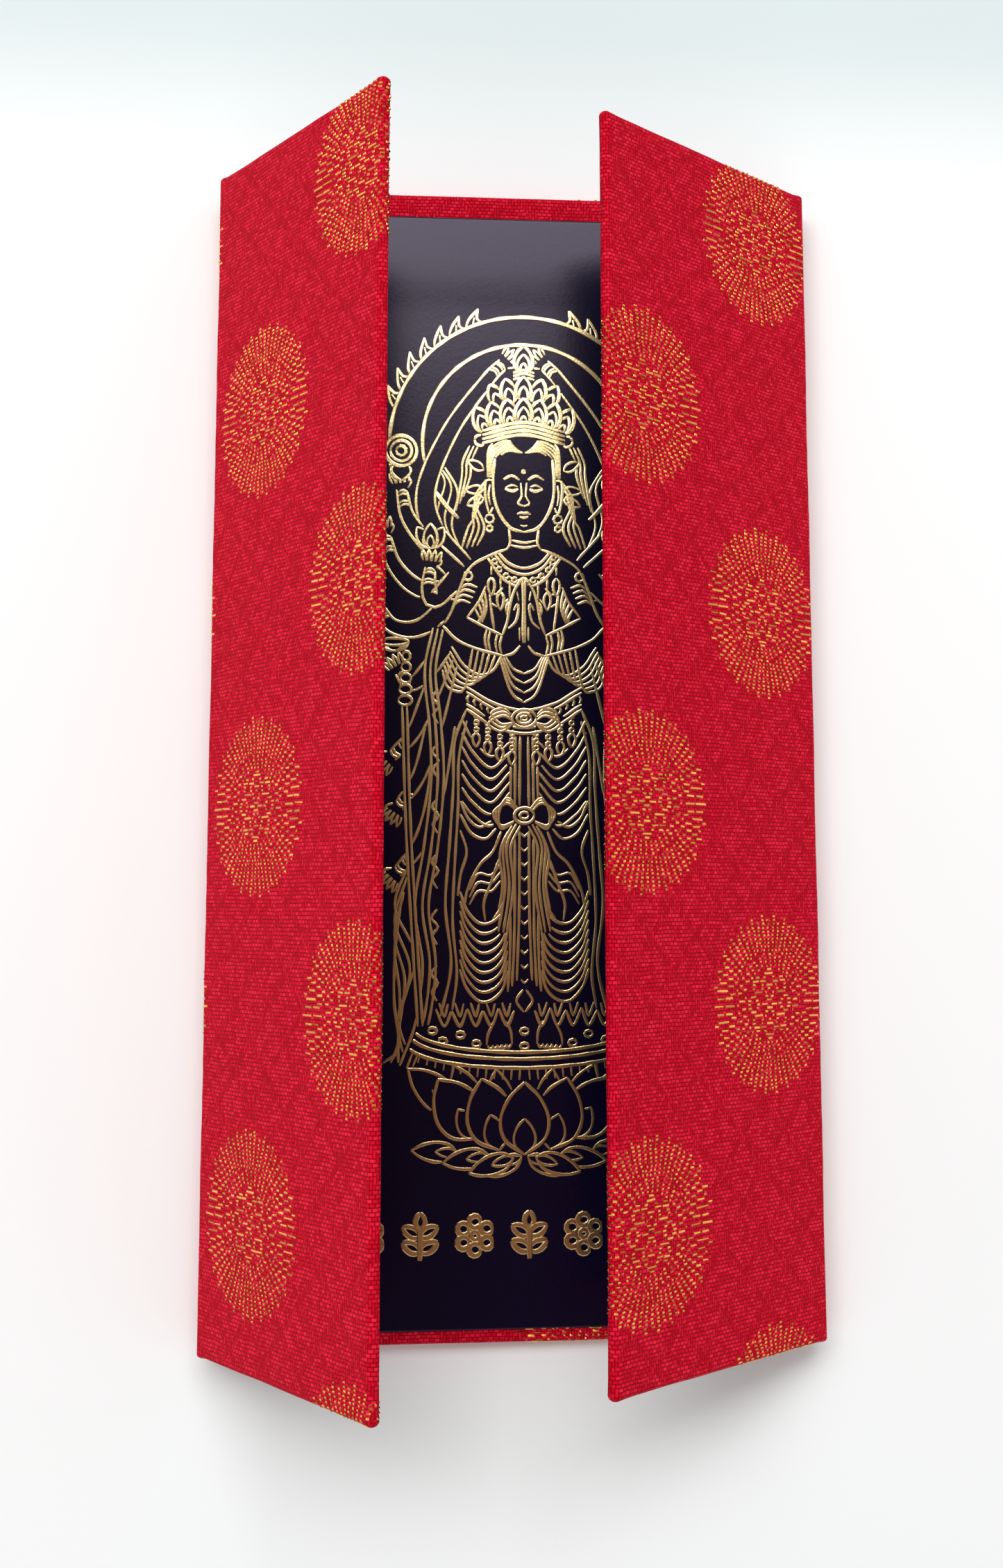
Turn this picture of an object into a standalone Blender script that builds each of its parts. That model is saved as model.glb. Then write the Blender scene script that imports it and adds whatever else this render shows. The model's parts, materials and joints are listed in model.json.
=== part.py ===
"""A gatefold folio: a cloth-covered back with a picture card, and two doors that fold over it.

The folio lies on its back with its doors half open. X is its width, +Y its head, +Z is up, and the
origin is on the underside, in the middle. Everything is in metres.

One brocade covers the whole folio. It is glued over five boards, the back, two narrow spines and two
doors, and bends at the four creases between them. Each spine turns on the back and each door on its
spine. A crease's axis lies in the outer face of the cloth, so an opened folio lies flat.
"""

import math

import bmesh
import bpy
from mathutils import Vector

# Overall sizes
HEIGHT = 0.160
CREASE_X = 0.0417  # from the middle to the outer face of a spine
LEFT_DOOR_TILT = math.radians(56.0)  # above the closed door
RIGHT_DOOR_TILT = math.radians(40.3)

# Sheet stock
CLOTH = 0.00025
BACK_BOARD = 0.0012
DOOR_BOARD = 0.0006
SPINE_BOARD = 0.0004
CARD = 0.0003
LINING = 0.00015

# Clearances
GLUE_GAP = 0.0003  # between two layers that are glued together
MEETING_GAP = 0.0006  # between the free edges of the closed doors
CLOSED_CLEARANCE = 0.00055  # between the card and a closed door's lining
BACK_CREASE_MARGIN = 0.00045  # from a crease to the cloth of the back, and of a door
SPINE_CREASE_MARGIN = 0.00055  # from a crease to the cloth of a spine

# How the cloth, the card and the linings are cut
TURN_IN = 0.012  # cloth folded over onto the inner face
EDGE_ROUND = 0.0006
ROUND_SEGMENTS = 3
CARD_HEAD_BORDER = 0.0036
CARD_TAIL_BORDER = 0.0019
CARD_SIDE_BORDER = 0.0030
LINING_BORDER = 0.0025

# Worked out from the above
WRAPPED = 2 * (CLOTH + GLUE_GAP)  # what a wrap adds to its board
BACK_THICKNESS = BACK_BOARD + WRAPPED
DOOR_THICKNESS = DOOR_BOARD + WRAPPED
SPINE_THICKNESS = SPINE_BOARD + WRAPPED
CARD_BASE = BACK_THICKNESS + GLUE_GAP
LINED = GLUE_GAP + LINING
SPINE_HEIGHT = CARD_BASE + CARD + CLOSED_CLEARANCE + LINED + DOOR_THICKNESS
DOOR_WIDTH = CREASE_X - MEETING_GAP / 2
BOARD_SETBACK = SPINE_THICKNESS + LINED + GLUE_GAP  # clears the spine's layers in a square fold
SPINE_SETBACK = CLOTH + GLUE_GAP  # clears the cloth of the back and of a closed door
PAST = 0.001  # how far a cutter runs past the face it opens


def linear(channel):
    """One sRGB channel, 0 to 1, as linear light."""
    return channel / 12.92 if channel <= 0.04045 else ((channel + 0.055) / 1.055) ** 2.4


def material(name, colour, roughness):
    """A plain material from an sRGB hex colour."""
    mat = bpy.data.materials.new(name)
    mat.use_nodes = True
    shader = mat.node_tree.nodes["Principled BSDF"]
    rgb = [linear(int(colour[i : i + 2], 16) / 255) for i in (0, 2, 4)]
    shader.inputs["Base Color"].default_value = (*rgb, 1.0)
    shader.inputs["Roughness"].default_value = roughness
    shader.inputs["Metallic"].default_value = 0.0
    return mat


def box_mesh(name, corner_a, corner_b, round_by=0.0, creases=()):
    """A box between two corners. round_by rounds every edge that doesn't lie in a plane x = crease."""
    low = Vector(min(a, b) for a, b in zip(corner_a, corner_b))
    high = Vector(max(a, b) for a, b in zip(corner_a, corner_b))
    bm = bmesh.new()
    bmesh.ops.create_cube(bm, size=1.0)
    bmesh.ops.scale(bm, vec=high - low, verts=bm.verts)
    bmesh.ops.translate(bm, vec=(low + high) / 2, verts=bm.verts)
    if round_by > 0.0:
        folded = [e for e in bm.edges if not lies_in_crease(e, creases)]
        bmesh.ops.bevel(
            bm,
            geom=folded,
            offset=round_by,
            segments=ROUND_SEGMENTS,
            profile=0.5,
            affect="EDGES",
        )
    bmesh.ops.recalc_face_normals(bm, faces=bm.faces)
    mesh = bpy.data.meshes.new(name)
    bm.to_mesh(mesh)
    bm.free()
    return mesh


def lies_in_crease(edge, creases):
    """True for an edge whose two ends are in one of the planes x = crease."""
    return any(all(abs(v.co.x - x) < 1e-6 for v in edge.verts) for x in creases)


def place(name, mesh, parent, mat=None):
    """Makes an object of the mesh in its parent's frame."""
    obj = bpy.data.objects.new(name, mesh)
    bpy.context.scene.collection.objects.link(obj)
    obj.parent = parent
    if mat:
        mesh.materials.append(mat)
    return obj


def cut(obj, name, corner_a, corner_b, round_by=0.0, creases=()):
    """Takes a box out of the object."""
    mesh = box_mesh(name, corner_a, corner_b, round_by, creases)
    cutter = place(f"cutter_{obj.name}_{name}", mesh, obj.parent)
    cutter.hide_render = True
    cutter.display_type = "WIRE"
    modifier = obj.modifiers.new(name, "BOOLEAN")
    modifier.operation = "DIFFERENCE"
    modifier.object = cutter


def sheet(name, corner_a, corner_b, parent, mat):
    """A board, card or paper: a plain slab with cut edges."""
    return place(name, box_mesh(name, corner_a, corner_b), parent, mat)


def brocade_wrap(name, parent, mat, start, end, setbacks, thickness, inward, free):
    """Cloth glued over the outer face of a board and turned in over its head, tail and free edge.

    start and end are local x, with a crease beyond start, and one beyond end unless the end is free.
    setbacks are the local x where the turned-in cloth begins and stops. The outer face is z = 0, and
    inward is the sign of z towards the inner face.
    """
    along = math.copysign(1.0, end - start)
    top = inward * thickness
    head = HEIGHT / 2
    creases = (start,) if free else (start, end)
    block = box_mesh(name, (start, -head, 0.0), (end, head, top), EDGE_ROUND, creases)
    wrap = place(name, block, parent, mat)

    before = start - along * PAST
    beyond = end + along * PAST
    pocket_end = end - along * CLOTH if free else beyond
    window_end = end - along * TURN_IN if free else beyond
    cut(
        wrap,
        "pocket",
        (before, -(head - CLOTH), inward * CLOTH),
        (pocket_end, head - CLOTH, inward * (thickness - CLOTH)),
        EDGE_ROUND - CLOTH,
        (before,) if free else (before, beyond),
    )
    cut(
        wrap,
        "window",
        (before, -(head - TURN_IN), inward * thickness / 2),
        (window_end, head - TURN_IN, inward * (thickness + PAST)),
    )
    reliefs = [("relief", before, setbacks[0])]
    if not free:
        reliefs.append(("far_relief", setbacks[1], beyond))
    for label, x_a, x_b in reliefs:
        if abs(x_b - x_a) > PAST + 1e-6:
            cut(
                wrap,
                label,
                (x_a, -(head + PAST), inward * CLOTH),
                (x_b, head + PAST, inward * (thickness + PAST)),
            )
    return wrap


def build_back(mats):
    """The back: board, cloth and the picture card, which covers the board and the turned-in cloth."""
    edge = CREASE_X - BACK_CREASE_MARGIN
    board_x = CREASE_X - BOARD_SETBACK
    board_y = HEIGHT / 2 - CLOTH - GLUE_GAP
    board_z = CLOTH + GLUE_GAP
    brocade_wrap(
        "back_brocade",
        None,
        mats["brocade"],
        -edge,
        edge,
        (-board_x, board_x),
        BACK_THICKNESS,
        +1,
        free=False,
    )
    sheet(
        "back_board",
        (-board_x, -board_y, board_z),
        (board_x, board_y, board_z + BACK_BOARD),
        None,
        mats["board"],
    )
    card_x = CREASE_X - CARD_SIDE_BORDER
    sheet(
        "picture_card",
        (-card_x, CARD_TAIL_BORDER - HEIGHT / 2, CARD_BASE),
        (card_x, HEIGHT / 2 - CARD_HEAD_BORDER, CARD_BASE + CARD),
        None,
        mats["card"],
    )


def crease(name, parent, location, turn):
    """An empty on a crease's axis, which runs along its Y."""
    empty = bpy.data.objects.new(name, None)
    bpy.context.scene.collection.objects.link(empty)
    empty.empty_display_size = 0.01
    empty.parent = parent
    empty.location = location
    empty.rotation_euler = (0.0, turn, 0.0)
    return empty


def build_spine(word, side, hinge, mats):
    """A spine: a narrow strip of board in the cloth, with a lining paper down its inner face."""

    def x(distance):
        return -side * distance

    brocade_wrap(
        f"{word}_spine_brocade",
        hinge,
        mats["brocade"],
        x(SPINE_CREASE_MARGIN),
        x(SPINE_HEIGHT - SPINE_CREASE_MARGIN),
        (x(SPINE_CREASE_MARGIN), x(SPINE_HEIGHT - SPINE_CREASE_MARGIN)),
        SPINE_THICKNESS,
        -1,
        free=False,
    )
    strip_y = HEIGHT / 2 - CLOTH - GLUE_GAP
    strip_z = -(CLOTH + GLUE_GAP)
    sheet(
        f"{word}_spine_strip",
        (x(SPINE_SETBACK), -strip_y, strip_z),
        (x(SPINE_HEIGHT - SPINE_SETBACK), strip_y, strip_z - SPINE_BOARD),
        hinge,
        mats["board"],
    )
    paper_y = HEIGHT / 2 - LINING_BORDER
    paper_z = -(SPINE_THICKNESS + GLUE_GAP)
    sheet(
        f"{word}_spine_lining",
        (x(SPINE_SETBACK), -paper_y, paper_z),
        (x(SPINE_HEIGHT - SPINE_SETBACK), paper_y, paper_z - LINING),
        hinge,
        mats["lining"],
    )


def build_door(word, side, hinge, mats):
    """A door: a board with its cloth turned in on three edges, and a lining paper inside."""

    def x(distance):
        return -side * distance

    brocade_wrap(
        f"{word}_door_brocade",
        hinge,
        mats["brocade"],
        x(BACK_CREASE_MARGIN),
        x(DOOR_WIDTH),
        (x(BOARD_SETBACK),),
        DOOR_THICKNESS,
        -1,
        free=True,
    )
    inset = CLOTH + GLUE_GAP
    board_y = HEIGHT / 2 - inset
    sheet(
        f"{word}_door_board",
        (x(BOARD_SETBACK), -board_y, -inset),
        (x(DOOR_WIDTH - inset), board_y, -inset - DOOR_BOARD),
        hinge,
        mats["board"],
    )
    paper_y = HEIGHT / 2 - LINING_BORDER
    paper_z = -(DOOR_THICKNESS + GLUE_GAP)
    sheet(
        f"{word}_door_lining",
        (x(BOARD_SETBACK), -paper_y, paper_z),
        (x(DOOR_WIDTH - LINING_BORDER), paper_y, paper_z - LINING),
        hinge,
        mats["lining"],
    )


for old in list(bpy.data.objects):
    bpy.data.objects.remove(old, do_unlink=True)

MATERIALS = {
    "brocade": material("brocade", "C01F31", 0.72),
    "board": material("greyboard", "A39C90", 0.90),
    "card": material("black_card", "2A2530", 0.62),
    "lining": material("black_lining_paper", "26222B", 0.80),
}

build_back(MATERIALS)
for WORD, SIDE, TILT in (("left", -1, LEFT_DOOR_TILT), ("right", 1, RIGHT_DOOR_TILT)):
    UPRIGHT = math.pi / 2
    LOWER = crease(f"{WORD}_spine_crease", None, (SIDE * CREASE_X, 0.0, 0.0), SIDE * UPRIGHT)
    UPPER_AT = (-SIDE * SPINE_HEIGHT, 0.0, 0.0)
    UPPER = crease(f"{WORD}_door_crease", LOWER, UPPER_AT, SIDE * (TILT - UPRIGHT))
    build_spine(WORD, SIDE, LOWER, MATERIALS)
    build_door(WORD, SIDE, UPPER, MATERIALS)
bpy.context.view_layer.update()
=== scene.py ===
import json
import math

import bmesh
import bpy
import numpy as np
from mathutils import Matrix, Vector


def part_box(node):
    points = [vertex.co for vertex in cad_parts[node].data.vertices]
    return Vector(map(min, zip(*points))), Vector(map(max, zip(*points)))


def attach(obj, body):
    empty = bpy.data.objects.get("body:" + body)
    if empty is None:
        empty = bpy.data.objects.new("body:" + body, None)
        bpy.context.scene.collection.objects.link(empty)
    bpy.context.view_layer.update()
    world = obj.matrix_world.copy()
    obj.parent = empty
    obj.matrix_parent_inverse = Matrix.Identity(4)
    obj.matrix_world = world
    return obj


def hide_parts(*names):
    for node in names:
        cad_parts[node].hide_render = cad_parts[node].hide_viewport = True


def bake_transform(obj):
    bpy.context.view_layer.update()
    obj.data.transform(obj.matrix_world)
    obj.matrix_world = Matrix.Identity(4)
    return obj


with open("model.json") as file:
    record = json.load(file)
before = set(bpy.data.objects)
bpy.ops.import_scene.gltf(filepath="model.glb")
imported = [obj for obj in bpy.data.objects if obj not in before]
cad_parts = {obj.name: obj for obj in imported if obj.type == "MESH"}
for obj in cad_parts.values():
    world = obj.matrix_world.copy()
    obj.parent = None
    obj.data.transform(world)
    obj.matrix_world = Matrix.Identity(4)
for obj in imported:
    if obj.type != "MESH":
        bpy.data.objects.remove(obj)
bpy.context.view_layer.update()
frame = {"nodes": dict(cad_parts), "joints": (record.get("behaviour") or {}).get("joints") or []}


# ---- Boards -------------------------------------------------------------------------------------
# Dark grey bookbinder's board stiffens the back and both doors, and a thinner strip stiffens each spine.
# They are guillotined from one pressed sheet, and the brocade is pasted round them.

MM = 0.001


def linear(colour):
    """An sRGB hex colour as the linear colour that a shader socket takes."""
    channels = [int(colour[i:i + 2], 16) / 255 for i in (0, 2, 4)]
    return [c / 12.92 if c <= 0.04045 else ((c + 0.055) / 1.055) ** 2.4 for c in channels] + [1.0]


def add(tree, kind, inputs=None, **settings):
    """Adds a node with its settings; an input is given a value, a socket or a node's first output."""
    made = tree.nodes.new(kind)
    for name, value in settings.items():
        setattr(made, name, value)
    for name, value in (inputs or {}).items():
        if isinstance(value, bpy.types.Node):
            value = value.outputs[0]
        if isinstance(value, bpy.types.NodeSocket):
            tree.links.new(value, made.inputs[name])
        else:
            made.inputs[name].default_value = value
    return made


def new_material(name, **shader):
    """A material with an empty tree, its Principled shader with the given sockets, and its output."""
    material = bpy.data.materials.new(name)
    material.use_nodes = True
    tree = material.node_tree
    tree.nodes.clear()
    surface = add(tree, "ShaderNodeBsdfPrincipled", {k.replace("_", " "): v for k, v in shader.items()})
    add(tree, "ShaderNodeOutputMaterial", {"Surface": surface})
    return material, tree, surface


def fibrous(tree, surface, length, detail, dark, light, strength, depth, rough=0.5):
    """Mottles a material between two tones, as fibres of that length do, and raises them by a depth."""
    place = add(tree, "ShaderNodeTexCoord")
    fibres = add(tree, "ShaderNodeTexNoise", {"Vector": place.outputs["Object"], "Scale": 1 / length,
                                              "Detail": detail, "Roughness": rough})
    tone = add(tree, "ShaderNodeMix", {"Factor": fibres, "A": linear(dark), "B": linear(light)},
               data_type="RGBA")
    tree.links.new(tone.outputs["Result"], surface.inputs["Base Color"])
    raised = add(tree, "ShaderNodeBump", {"Height": fibres, "Strength": strength, "Distance": depth})
    tree.links.new(raised.outputs[0], surface.inputs["Normal"])


# Board is pulped paper: matt, a little mottled, with short fibres that lie every way.
grey_board, tree, surface = new_material("grey board", Roughness=0.92)
fibrous(tree, surface, 0.6 * MM, 4.0, "2e2b2b", "413c3b", 0.4, 0.05 * MM)

for name in ("back_board", "left_spine_strip", "right_spine_strip", "left_door_board", "right_door_board"):
    frame["nodes"][name].data.materials.clear()
    frame["nodes"][name].data.materials.append(grey_board)


# ---- Brocade ------------------------------------------------------------------------------------
# One length of red silk brocade wraps the outside of the folio, from door edge to door edge. It is
# pasted to the boards, turned in over head, tail and free edges, and creased at each side of a spine.
# All sizes here are in millimetres; u runs across the flat cloth from the back's middle, v along it.

joint = {j["name"]: j for j in frame["joints"]}
back_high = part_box("back_brocade")[1]

CREASE = joint["right_spine_crease"]["pos_m"][0] / MM
SPINE = joint["right_door_crease"]["pos_m"][2] / MM
TILT_LEFT = math.radians(-joint["left_door_crease"]["range_deg"][0])
TILT_RIGHT = math.radians(-joint["right_door_crease"]["range_deg"][0])
HALF_HEIGHT = back_high.y / MM
BACK_THICK = back_high.z / MM
DOOR_THICK = 1.6
SPINE_THICK = 1.5
TWO_CLOTHS = 0.65
STRIP_EDGE = 1.03
DOOR_WIDTH = 41.4
FREE_EDGE = CREASE + SPINE + DOOR_WIDTH
CLOTH = 0.25
TURN_IN = 12.0
EDGE_ROUND = 0.75
CREASE_ROUND = 1.2
GRID = 1.6
COLUMN_GAP = 0.12
BACK_BOARD_STOP = 2.25
STRIP_START = 0.5
STRIP_STOP = 0.65
DOOR_BOARD_START = 0.7

# How thick the wrapped board is across the folio. Boards and strips end short of each crease, so the
# folio thins there to two layers of cloth, with short slopes beside the ends of the boards.
DOOR_CREASE = CREASE + SPINE
THICK_AT = [0, CREASE - BACK_BOARD_STOP - 0.6, CREASE - BACK_BOARD_STOP, CREASE + STRIP_START - 0.35,
            CREASE + STRIP_START, CREASE + 1.25, CREASE + 1.9, DOOR_CREASE - STRIP_STOP - 0.6,
            DOOR_CREASE - STRIP_STOP, DOOR_CREASE - STRIP_STOP + 0.25, DOOR_CREASE + DOOR_BOARD_START,
            DOOR_CREASE + DOOR_BOARD_START + 1, FREE_EDGE]
THICK = [BACK_THICK, BACK_THICK, TWO_CLOTHS, TWO_CLOTHS, STRIP_EDGE, STRIP_EDGE, SPINE_THICK,
         SPINE_THICK, STRIP_EDGE, TWO_CLOTHS, TWO_CLOTHS, DOOR_THICK, DOOR_THICK]


def thickness(u):
    """The wrapped board's thickness at u."""
    return np.interp(np.abs(u), THICK_AT, THICK)


def edge_round(u):
    """The radius of the cloth's turn over an edge, which a thin stretch limits."""
    return np.minimum(EDGE_ROUND, thickness(u) / 2)


def fold(u, depth):
    """Where the cloth lies across the folio: under the back, up the spine and over the leaning door."""
    side = np.where(u < 0, -1.0, 1.0)
    run = np.abs(u) - CREASE
    tilt = np.where(u < 0, TILT_LEFT, TILT_RIGHT)
    lean = math.pi / 2 - tilt
    trim = CREASE_ROUND * np.tan(lean / 2)
    low = (run + CREASE_ROUND) / (2 * CREASE_ROUND) * math.pi / 2
    high = (run - SPINE + trim) / (2 * trim) * lean
    reach = CREASE_ROUND - depth
    out = run - SPINE
    where = [run < -CREASE_ROUND, run < CREASE_ROUND, run < SPINE - trim, run < SPINE + trim]
    x = np.select(where, [run, -CREASE_ROUND + reach * np.sin(low), -depth,
                          -CREASE_ROUND + reach * np.cos(high)],
                  -out * np.cos(tilt) - depth * np.sin(tilt))
    z = np.select(where, [depth, CREASE_ROUND - reach * np.cos(low), run,
                          SPINE - trim + reach * np.sin(high)],
                  SPINE + out * np.sin(tilt) - depth * np.cos(tilt))
    return side * (CREASE + x), z


def edge_lengths(u):
    """How far round an edge, from the flat, its first turn, its wall and its second turn end."""
    r = edge_round(u)
    quarter = r * math.pi / 2
    wall = quarter + thickness(u) - 2 * r
    return quarter, wall, wall + quarter


def wrap(u, v, height):
    """Lays points of the flat cloth on the folio: round head, tail and free edge, then folded up."""
    r = edge_round(u)
    first, wall, second = edge_lengths(u)
    over_u = np.maximum(np.abs(u) - (FREE_EDGE - r), 0)
    over_v = np.maximum(np.abs(v) - (HALF_HEIGHT - r), 0)
    over = np.hypot(over_u, over_v)
    safe = np.maximum(over, 1e-9)
    turn = over / r
    back_turn = (over - wall) / r
    outer = r + height
    where = [over <= 0, over < first, over < wall, over < second]
    reach = np.select(where, [0 * u, outer * np.sin(turn), outer, outer * np.cos(back_turn)],
                      second - over)
    depth = np.select(where, [-height, r - outer * np.cos(turn), r + over - first,
                              thickness(u) - r + outer * np.sin(back_turn)],
                      thickness(u) + height)
    stop = np.where(over < second, np.inf, second - over)
    across = np.minimum(np.minimum(np.abs(u), FREE_EDGE - r) + reach * over_u / safe, FREE_EDGE - r + stop)
    along = np.minimum(np.minimum(np.abs(v), HALF_HEIGHT - r) + reach * over_v / safe, HALF_HEIGHT - r + stop)
    x, z = fold(np.where(u < 0, -across, across), depth)
    return np.column_stack([x, np.where(v < 0, -along, along), z]) * MM


def ease(u, v):
    """How far the pasted cloth stands off its board: a faint unevenness, fuller at the door corners."""
    wave = np.sin(0.31 * u + 1.3 * np.sin(0.11 * v)) * np.sin(0.23 * v + 0.9 * np.sin(0.17 * u))
    ripple = np.sin(1.9 * v + 0.8 * u) * np.sin(0.7 * v)
    corner = np.exp(-((FREE_EDGE - np.abs(u)) ** 2 + (HALF_HEIGHT - np.abs(v)) ** 2) / 4.5)
    past = np.maximum(np.abs(u) - FREE_EDGE - 1, 0) + np.maximum(np.abs(v) - HALF_HEIGHT - 1, 0)
    return (0.045 * wave + 0.02 * ripple + 0.14 * corner) * np.exp(-2 * past)


def new_piece(name, points, faces, material):
    """A closed, smooth-shaded mesh object of that material, from points in metres."""
    mesh = bpy.data.meshes.new(name)
    mesh.from_pydata([tuple(p) for p in points], [], faces)
    mesh.materials.append(material)
    shape = bmesh.new()
    shape.from_mesh(mesh)
    bmesh.ops.recalc_face_normals(shape, faces=shape.faces)
    shape.to_mesh(mesh)
    shape.free()
    mesh.shade_smooth()
    mesh.set_sharp_from_angle(angle=math.radians(50))
    piece = bpy.data.objects.new(name, mesh)
    bpy.context.scene.collection.objects.link(piece)
    return piece


def strips(rows):
    """Quads between each row of point numbers and the next."""
    return [(a[i], a[i + 1], b[i + 1], b[i]) for a, b in zip(rows, rows[1:]) for i in range(len(a) - 1)]


def thicken(outer, inner, faces):
    """Joins points that meet, then closes a sheet: its outer face, its inner face and a rim between."""
    _, first, same = np.unique(np.round(outer / (0.002 * MM)), axis=0, return_index=True,
                               return_inverse=True)
    same = same.ravel()
    kept = []
    for face in faces:
        corners = [same[p] for p in face]
        corners = [c for i, c in enumerate(corners) if c != corners[i - 1]]
        if len(set(corners)) > 2:
            kept.append(tuple(corners))
    count = len(first)
    closed = kept + [tuple(count + c for c in reversed(face)) for face in kept]
    edges = {}
    for face in kept:
        for i, c in enumerate(face):
            edges.setdefault(frozenset((face[i - 1], c)), []).append((face[i - 1], c))
    for sides in edges.values():
        if len(sides) == 1:
            a, b = sides[0]
            closed.append((b, a, count + a, count + b))
    return np.vstack([outer[first], inner[first]]), closed, np.concatenate([first, first])


def cuts_across(u_from, u_to):
    """Where columns of points fall: at each change of thickness, closely over creases, evenly between."""
    kept = [u_from, u_to] + [c for c in THICK_AT[1:-1] if u_from < c < u_to]
    closer = [CREASE + np.arange(-1.2, 1.3, 0.3), DOOR_CREASE + np.arange(-0.6, 0.7, 0.2)]
    for cut in np.concatenate(closer + [np.linspace(u_from, u_to, max(3, round((u_to - u_from) / GRID)))]):
        if u_from < cut < u_to and min(abs(cut - other) for other in kept) > COLUMN_GAP:
            kept.append(float(cut))
    return sorted(kept)


def edge_ring(step, across, along, free_edge):
    """The runs of points at a step round the edges: 1 ends the first turn, 2 the wall, 3 the second turn."""
    def over(u):
        first, wall, second = edge_lengths(u)
        return float(np.interp(step, [0, 1, 2, 3, 4], [0, first, wall, second, second + TURN_IN]))

    def beyond(u):
        return HALF_HEIGHT - float(edge_round(u)) + over(u)

    head = [(u, beyond(u)) for u in across]
    tail = [(u, -beyond(u)) for u in reversed(across)]
    if not free_edge:
        return [head, tail]
    edge = across[-1]
    top = along[-1]
    reach = over(FREE_EDGE)
    fan = [math.radians(a) for a in (75, 60, 45, 30, 15)]
    head_corner = [(edge + reach * math.cos(a), top + reach * math.sin(a)) for a in fan]
    tail_corner = [(u, -v) for u, v in reversed(head_corner)]
    free = [(edge + reach, v) for v in reversed(along)]
    return [head + head_corner + free + tail_corner + tail]


EDGE_STEPS = [0, 0.25, 0.5, 0.75, 1, 1.5, 2, 2.25, 2.5, 2.75, 3, 3.06, 3.14, 3.3, 3.6, 4]


def cloth_piece(name, side, u_from, u_to, free_edge, material):
    """One length of the brocade, folded round its boards, with its flat place stored as "cloth"."""
    across = cuts_across(u_from, u_to)
    top = HALF_HEIGHT - EDGE_ROUND
    along = list(np.linspace(-top, top, round(2 * top / GRID)))
    flat = []

    def number(row):
        flat.extend(row)
        return list(range(len(flat) - len(row), len(flat)))

    rows = [number([(u, v) for u in across]) for v in along]
    faces = strips(rows)
    rings = [[number(run) for run in edge_ring(s, across, along, free_edge)] for s in EDGE_STEPS]
    for run in zip(*rings):
        faces += strips(run)
    faces += strips([rows[-1], rings[0][0][:len(across)]])
    faces += strips([rings[0][-1][-len(across):], list(reversed(rows[0]))])
    u, v = np.array(flat).T
    u = side * u
    outer = wrap(u, v, ease(u, v))
    inner = wrap(u, v, ease(u, v) - CLOTH)
    points, faces, source = thicken(outer, inner, faces)
    piece = new_piece(name, points, faces, material)
    stored = piece.data.attributes.new("cloth", "FLOAT_VECTOR", "POINT")
    stored.data.foreach_set("vector", np.column_stack([u, v, 0 * u])[source].ravel())
    return piece


# Silk brocade: fine red warps bind red wefts in short floats, in rows, with a self-coloured lattice of
# lozenges where the floats run the other way. The floats are painted lighter red to pink, partly at random
# and partly as a painted highlight for their glints; the hollows between them are painted shade, a darker
# red.
ROW = 0.5
FLOAT = 0.72
FIGURE = 8.6

brocade, tree, surface = new_material("red silk brocade", Roughness=0.65, Specular_IOR_Level=0.05)
cloth = add(tree, "ShaderNodeAttribute", attribute_name="cloth")
flat = add(tree, "ShaderNodeSeparateXYZ", {0: cloth.outputs["Vector"]})
drift = add(tree, "ShaderNodeTexNoise", {"Vector": cloth.outputs["Vector"], "Scale": 0.35, "Detail": 1.0})
wander = add(tree, "ShaderNodeVectorMath", {0: drift.outputs["Color"], 1: (0.5, 0.5, 0.5)},
             operation="SUBTRACT")
wander = add(tree, "ShaderNodeVectorMath", {0: wander, "Scale": 0.3}, operation="SCALE")
drawn = add(tree, "ShaderNodeVectorMath", {0: cloth.outputs["Vector"], 1: wander}, operation="ADD")
# Floats as bricks, each a random red between two tones, the lighter in part a painted highlight; the mortar
# between them is painted shade.
ground = add(tree, "ShaderNodeTexBrick",
             {"Vector": drawn, "Color1": linear("d00428"), "Color2": linear("ff2648"),
              "Mortar": linear("900008"), "Scale": 1.0, "Mortar Size": 0.12, "Mortar Smooth": 1.0,
              "Bias": -0.2, "Brick Width": FLOAT, "Row Height": ROW})
turned = add(tree, "ShaderNodeMapping", {"Vector": drawn, "Rotation": (0, 0, math.pi / 2)})
# The lozenges' turned floats: lighter bricks in part a painted highlight, the darker mortar painted shade.
figure = add(tree, "ShaderNodeTexBrick",
             {"Vector": turned, "Color1": linear("c40324"), "Color2": linear("f41739"),
              "Mortar": linear("93000c"), "Scale": 1.0, "Mortar Size": 0.12, "Mortar Smooth": 1.0,
              "Bias": -0.2, "Brick Width": 1.0, "Row Height": 0.42})
lozenge_u = add(tree, "ShaderNodeMath", {0: flat.outputs["X"], 1: FIGURE / 2}, operation="PINGPONG")
lozenge_v = add(tree, "ShaderNodeMath", {0: flat.outputs["Y"], 1: FIGURE / 2}, operation="PINGPONG")
lozenge = add(tree, "ShaderNodeMath", {0: lozenge_u, 1: lozenge_v}, operation="ADD")
band = add(tree, "ShaderNodeMath", {0: lozenge, 1: FIGURE / 4}, operation="PINGPONG")
in_figure = add(tree, "ShaderNodeMapRange", {"Value": band, "From Min": 0.5, "From Max": 0.8, "To Min": 1.0,
                                             "To Max": 0.0})
weave = add(tree, "ShaderNodeMix", {"Factor": in_figure, "A": ground.outputs["Color"],
                                    "B": figure.outputs["Color"]}, data_type="RGBA")
hollow = add(tree, "ShaderNodeMix", {"Factor": in_figure, "A": ground.outputs["Fac"],
                                     "B": figure.outputs["Fac"]}, data_type="FLOAT")
tree.links.new(weave.outputs["Result"], surface.inputs["Base Color"])
raised = add(tree, "ShaderNodeBump", {"Height": hollow.outputs["Result"], "Strength": 0.8,
                                      "Distance": 0.08 * MM}, invert=True)
tree.links.new(raised.outputs[0], surface.inputs["Normal"])

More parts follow.
